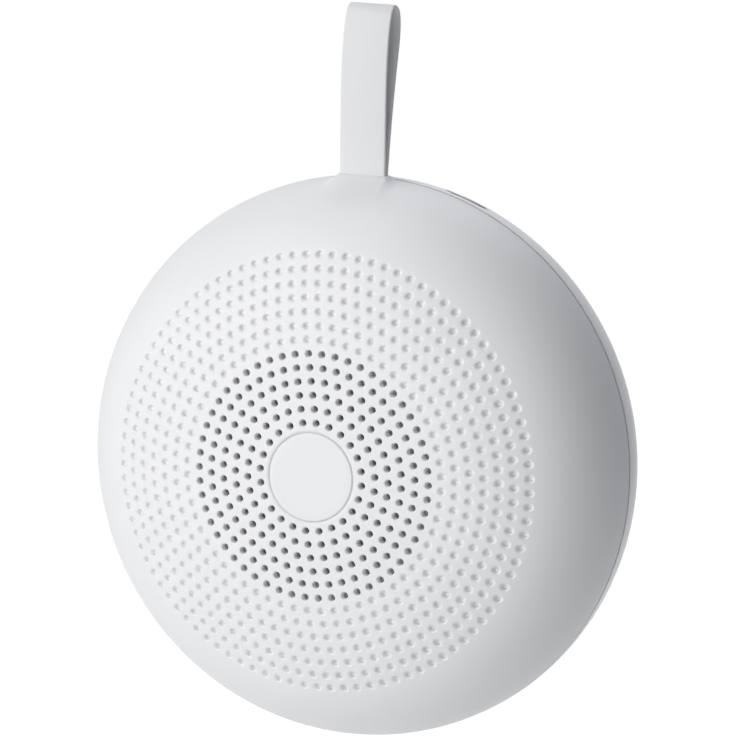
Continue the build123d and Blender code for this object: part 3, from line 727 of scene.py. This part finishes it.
def plain_weave_group():
    """Threads that cross over and under one another, with dark gaps between them."""
    group, given, made = new_group(
        "plain_weave",
        [
            ("Thread Colour", (0.1, 0.1, 0.1, 1)),
            ("Gap Darkness", 0.7),
            ("Threads per Metre", 4000.0),
        ],
        ["Colour", "Height"],
    )
    place = add_node(group, "ShaderNodeTexCoord").outputs["Object"]
    axes = add_node(group, "ShaderNodeSeparateXYZ")
    group.links.new(place, axes.inputs["Vector"])
    turns = arithmetic(group, "MULTIPLY", given.outputs["Threads per Metre"], pi)
    crests = []
    for axis in ("X", "Z"):
        phase = arithmetic(group, "MULTIPLY", axes.outputs[axis], turns)
        wave = arithmetic(group, "SINE", phase, 0.0)
        crests.append(arithmetic(group, "ABSOLUTE", wave, 0.0))
    thread = arithmetic(group, "MULTIPLY", *crests)
    darkest = arithmetic(group, "SUBTRACT", 1.0, given.outputs["Gap Darkness"])
    shade = spread_of(group, thread, darkest, 1.0, start=0.0, stop=0.6)
    colour = scaled_colour(group, given.outputs["Thread Colour"], shade)
    group.links.new(colour, made.inputs["Colour"])
    group.links.new(thread, made.inputs["Height"])
    return group


moulded_skin = moulded_skin_group()
worked_metal = worked_metal_group()
plain_weave = plain_weave_group()


# ---- finishes
METAL_BUMP = 0.003 * MM
WEAVE_BUMP = 0.05 * MM
WEAVE_ROUGHNESS = 0.9


def finish_with(name, group, values, bump, roughness=None, metallic=0.0):
    """A material whose Principled shader takes what the group puts out; bump is in metres."""
    material = bpy.data.materials.new(name)
    material.use_nodes = True
    tree = material.node_tree
    shader = tree.nodes["Principled BSDF"]
    source = add_node(tree, "ShaderNodeGroup", node_tree=group)
    for socket, value in values.items():
        source.inputs[socket].default_value = value
    tree.links.new(source.outputs["Colour"], shader.inputs["Base Color"])
    if roughness is None:
        tree.links.new(source.outputs["Roughness"], shader.inputs["Roughness"])
    else:
        shader.inputs["Roughness"].default_value = roughness
    shader.inputs["Metallic"].default_value = metallic
    relief = add_node(tree, "ShaderNodeBump")
    relief.inputs["Distance"].default_value = bump
    tree.links.new(source.outputs["Height"], relief.inputs["Height"])
    tree.links.new(relief.outputs["Normal"], shader.inputs["Normal"])
    return material


def moulded(
    name, colour, roughness, grain=0.25 * MM, bump=0.004 * MM, cloudiness=0.02, spread=0.05
):
    """Moulded, pressed or painted stuff; grain is the size of its texture."""
    values = {
        "Colour": (*colour, 1),
        "Cloudiness": cloudiness,
        "Roughness": roughness,
        "Gloss Spread": spread,
        "Grains per Metre": 1 / grain,
    }
    return finish_with(name, moulded_skin, values, bump)


def metal(name, colour, roughness, lines=0.15 * MM, dullness=0.12):
    """Worked metal; lines is how far its fine lines are apart."""
    values = {
        "Colour": (*colour, 1),
        "Dullness": dullness,
        "Roughness": roughness,
        "Lines per Metre": 1 / lines,
    }
    return finish_with(name, worked_metal, values, METAL_BUMP, metallic=1.0)


def woven(name, colour, thread, darkness):
    """Plain-woven cloth; thread is how far its threads are apart, darkness that of the gaps."""
    values = {
        "Thread Colour": (*colour, 1),
        "Gap Darkness": darkness,
        "Threads per Metre": 1 / thread,
    }
    return finish_with(name, plain_weave, values, WEAVE_BUMP, roughness=WEAVE_ROUGHNESS)


MATERIALS = {
    "shell_white": moulded("satin_white_shell", (0.88, 0.88, 0.885), 0.48),
    # painted light: the cover's white is set lighter than the shell's white to stand in for the
    # bright band that its side catches from the light behind it
    "cover_white": moulded(
        "satin_white_cover_painted_light", (0.95, 0.95, 0.955), 0.34, cloudiness=0.01, spread=0.02
    ),
    "badge_white": moulded(
        "smooth_white_badge", (0.855, 0.855, 0.865), 0.34, grain=0.15 * MM, bump=0.001 * MM
    ),
    "key_white": moulded("satin_white_key", (0.84, 0.84, 0.85), 0.46),
    "strap_silicone": moulded(
        "white_silicone", (0.79, 0.79, 0.80), 0.6, grain=0.18 * MM, bump=0.006 * MM, cloudiness=0.03
    ),
    "foot_rubber": moulded(
        "grey_foot_rubber", (0.40, 0.40, 0.41), 0.75, grain=0.3 * MM, bump=0.02 * MM
    ),
    "gasket_foam": moulded(
        "black_foam", (0.035, 0.035, 0.035), 0.95, grain=0.5 * MM, bump=0.12 * MM
    ),
    "surround_rubber": moulded("black_surround_rubber", (0.03, 0.03, 0.03), 0.55),
    "lead_red": moulded("red_insulation", (0.50, 0.04, 0.03), 0.45),
    "lead_black": moulded("black_insulation", (0.03, 0.03, 0.03), 0.45),
    "basket_black": moulded(
        "black_basket_paint", (0.03, 0.03, 0.032), 0.4, grain=0.4 * MM, bump=0.01 * MM
    ),
    "magnet_ferrite": moulded(
        "ground_ferrite", (0.08, 0.08, 0.085), 0.6, grain=0.6 * MM, bump=0.02 * MM
    ),
    "terminal_brown": moulded("laminate_strip", (0.28, 0.16, 0.08), 0.5, cloudiness=0.15),
    "board_green": moulded(
        "green_solder_mask", (0.02, 0.17, 0.07), 0.3, grain=1.2 * MM, cloudiness=0.12
    ),
    "chip_black": moulded("chip_resin", (0.025, 0.025, 0.027), 0.6, grain=0.1 * MM),
    "socket_nylon": moulded("natural_nylon", (0.84, 0.82, 0.75), 0.5),
    "switch_black": moulded("black_nylon", (0.035, 0.035, 0.035), 0.5),
    "plunger_white": moulded("plunger_nylon", (0.80, 0.80, 0.77), 0.5),
    "cone_paper": moulded(
        "pressed_paper", (0.05, 0.05, 0.05), 0.85, grain=0.8 * MM, bump=0.05 * MM, cloudiness=0.2
    ),
    "screw_steel": metal("plated_screw_steel", (0.60, 0.60, 0.61), 0.3),
    "plate_steel": metal("zinc_plated_steel", (0.55, 0.55, 0.57), 0.35, dullness=0.2),
    "socket_steel": metal("socket_shell_steel", (0.64, 0.64, 0.65), 0.26),
    "capacitor_can": metal("drawn_can", (0.72, 0.72, 0.74), 0.25),
    "battery_foil": metal("pouch_foil", (0.74, 0.74, 0.76), 0.4, dullness=0.2),
    "coil_copper": metal("wound_copper", (0.75, 0.38, 0.20), 0.3, lines=0.2 * MM),
    "acoustic_cloth": woven("acoustic_cloth", (0.48, 0.48, 0.49), 0.25 * MM, darkness=0.5),
    "spider_cloth": woven("treated_cloth", (0.62, 0.47, 0.24), 0.5 * MM, darkness=0.4),
}

for row in frame["record"]["subparts"]:
    node = frame["nodes"][row["node"]]
    for slot in node.material_slots:
        slot.material = MATERIALS[row["material_slot"]]

build_shell(MATERIALS["shell_white"])
build_badge(MATERIALS["badge_white"])
build_strap(MATERIALS["strap_silicone"])

# ---- studio: a pale floor far below the hanging part, plain light all round and a few softboxes
FLOOR_DROP = 0.30
FLOOR_SIZE = 14.0
FLOOR_COLOUR = (0.82, 0.82, 0.82, 1)
FLOOR_ROUGHNESS = 0.9
FLOOR_GLOW = 0.88
WHITE = (1, 1, 1, 1)
WORLD_LEVEL = 0.07
WORLD_TINT = (0.84, 0.93, 1.06, 1)
LAMP_DISTANCE = 1.6
LAMP_SIZE = 0.9
PLAIN, COOL = (1.0, 1.0, 1.0), (0.93, 0.98, 1.06)
# name, degrees to the right of the front, degrees above the middle, share of plain light, tint
LAMPS = (
    ("upper_key_box", -30, 35, 0.35, PLAIN),
    ("front_box", 5, 3, 0.235, PLAIN),
    ("key_box", -32, 0, 0.25, PLAIN),
    ("top_box", -90, 80, 0.21, PLAIN),
    ("back_box", 180, 48, 0.22, COOL),
    ("right_box", 125, 0, 0.035, COOL),
    ("left_box", -95, 0, 0.06, PLAIN),
)


def towards(azimuth, elevation):
    """The way from the object to a viewer, from degrees right of the front and above level."""
    right, up = radians(azimuth), radians(elevation)
    return Vector((sin(right) * cos(up), -cos(right) * cos(up), sin(up)))


def add_lamp(name, azimuth, elevation, level, tint):
    """A square softbox that faces the housing; level is its share of plain light on a surface."""
    light = bpy.data.lights.new(name, "AREA")
    light.shape = "SQUARE"
    light.size = LAMP_SIZE
    light.color = tint
    light.energy = level * (pi * LAMP_DISTANCE) ** 2
    lamp = bpy.data.objects.new(name, light)
    away = towards(azimuth, elevation)
    lamp.location = housing_centre + away * LAMP_DISTANCE
    lamp.rotation_euler = away.to_track_quat("Z", "Y").to_euler()
    bpy.context.scene.collection.objects.link(lamp)


def seeing_rays(tree):
    """1 for rays from the camera or off a glossy or clear surface, 0 for the light on things."""
    rays = add_node(tree, "ShaderNodeLightPath")
    seen = arithmetic(tree, "MAXIMUM", rays.outputs["Is Camera Ray"], rays.outputs["Is Glossy Ray"])
    return arithmetic(tree, "MAXIMUM", seen, rays.outputs["Is Transmission Ray"])


def add_floor():
    half = FLOOR_SIZE / 2
    level = axis_z - BODY_RADIUS - FLOOR_DROP
    mesh = bpy.data.meshes.new("floor")
    sides = ((-half, -half), (half, -half), (half, half), (-half, half))
    mesh.from_pydata([(x, y, level) for x, y in sides], [], [(0, 1, 2, 3)])
    floor = bpy.data.objects.new("floor", mesh)
    bpy.context.scene.collection.objects.link(floor)
    material = bpy.data.materials.new("pale_floor")
    material.use_nodes = True
    tree = material.node_tree
    shader = tree.nodes["Principled BSDF"]
    shader.inputs["Base Color"].default_value = FLOOR_COLOUR
    shader.inputs["Roughness"].default_value = FLOOR_ROUGHNESS
    shader.inputs["Emission Color"].default_value = WHITE
    glow = arithmetic(tree, "MULTIPLY", seeing_rays(tree), FLOOR_GLOW)
    tree.links.new(glow, shader.inputs["Emission Strength"])
    mesh.materials.append(material)


def add_world():
    """Pale light all round, and a white background where the camera or a reflection sees it."""
    world = bpy.data.worlds.new("studio")
    bpy.context.scene.world = world
    world.use_nodes = True
    tree = world.node_tree
    background = tree.nodes["Background"]
    seen = seeing_rays(tree)
    colour = add_node(tree, "ShaderNodeMix", data_type="RGBA")
    colour.inputs["A"].default_value = WORLD_TINT
    colour.inputs["B"].default_value = WHITE
    tree.links.new(seen, colour.inputs["Factor"])
    tree.links.new(colour.outputs["Result"], background.inputs["Color"])
    more = arithmetic(tree, "MULTIPLY", seen, 1 - WORLD_LEVEL)
    strength = arithmetic(tree, "ADD", more, WORLD_LEVEL)
    tree.links.new(strength, background.inputs["Strength"])


# ---- camera: a long lens, a little to the right of the grille and above it
VIEW_AZIMUTH = 22.4
VIEW_ELEVATION = 9.8
VIEW_ROLL = 0.7
VIEW_DISTANCE = 2.377
LENS = 640
CAMERA_REACH = 100
GRILLE_POINT_DEPTH = 0.3 * MM
AIM_RIGHT = 10.40 * MM
AIM_UP = 19.86 * MM


def add_camera():
    back = towards(VIEW_AZIMUTH, VIEW_ELEVATION)
    level_right = Vector((0, 0, 1)).cross(back).normalized()
    level_up = back.cross(level_right)
    roll = radians(VIEW_ROLL)
    right = level_right * cos(roll) + level_up * sin(roll)
    up = level_up * cos(roll) - level_right * sin(roll)
    subject = on_axis(0, 0, GRILLE_POINT_DEPTH)
    location = subject + back * VIEW_DISTANCE
    axis = (location - subject - right * AIM_RIGHT - up * AIM_UP).normalized()
    side = up.cross(axis).normalized()
    turn = Matrix((side, axis.cross(side), axis)).transposed()
    data = bpy.data.cameras.new("camera")
    data.lens = LENS
    data.clip_end = CAMERA_REACH
    camera = bpy.data.objects.new("camera", data)
    camera.matrix_world = Matrix.Translation(location) @ turn.to_4x4()
    bpy.context.scene.collection.objects.link(camera)
    bpy.context.scene.camera = camera


for lamp in LAMPS:
    add_lamp(*lamp)
add_floor()
add_world()
add_camera()
bpy.context.scene.view_settings.view_transform = "Standard"
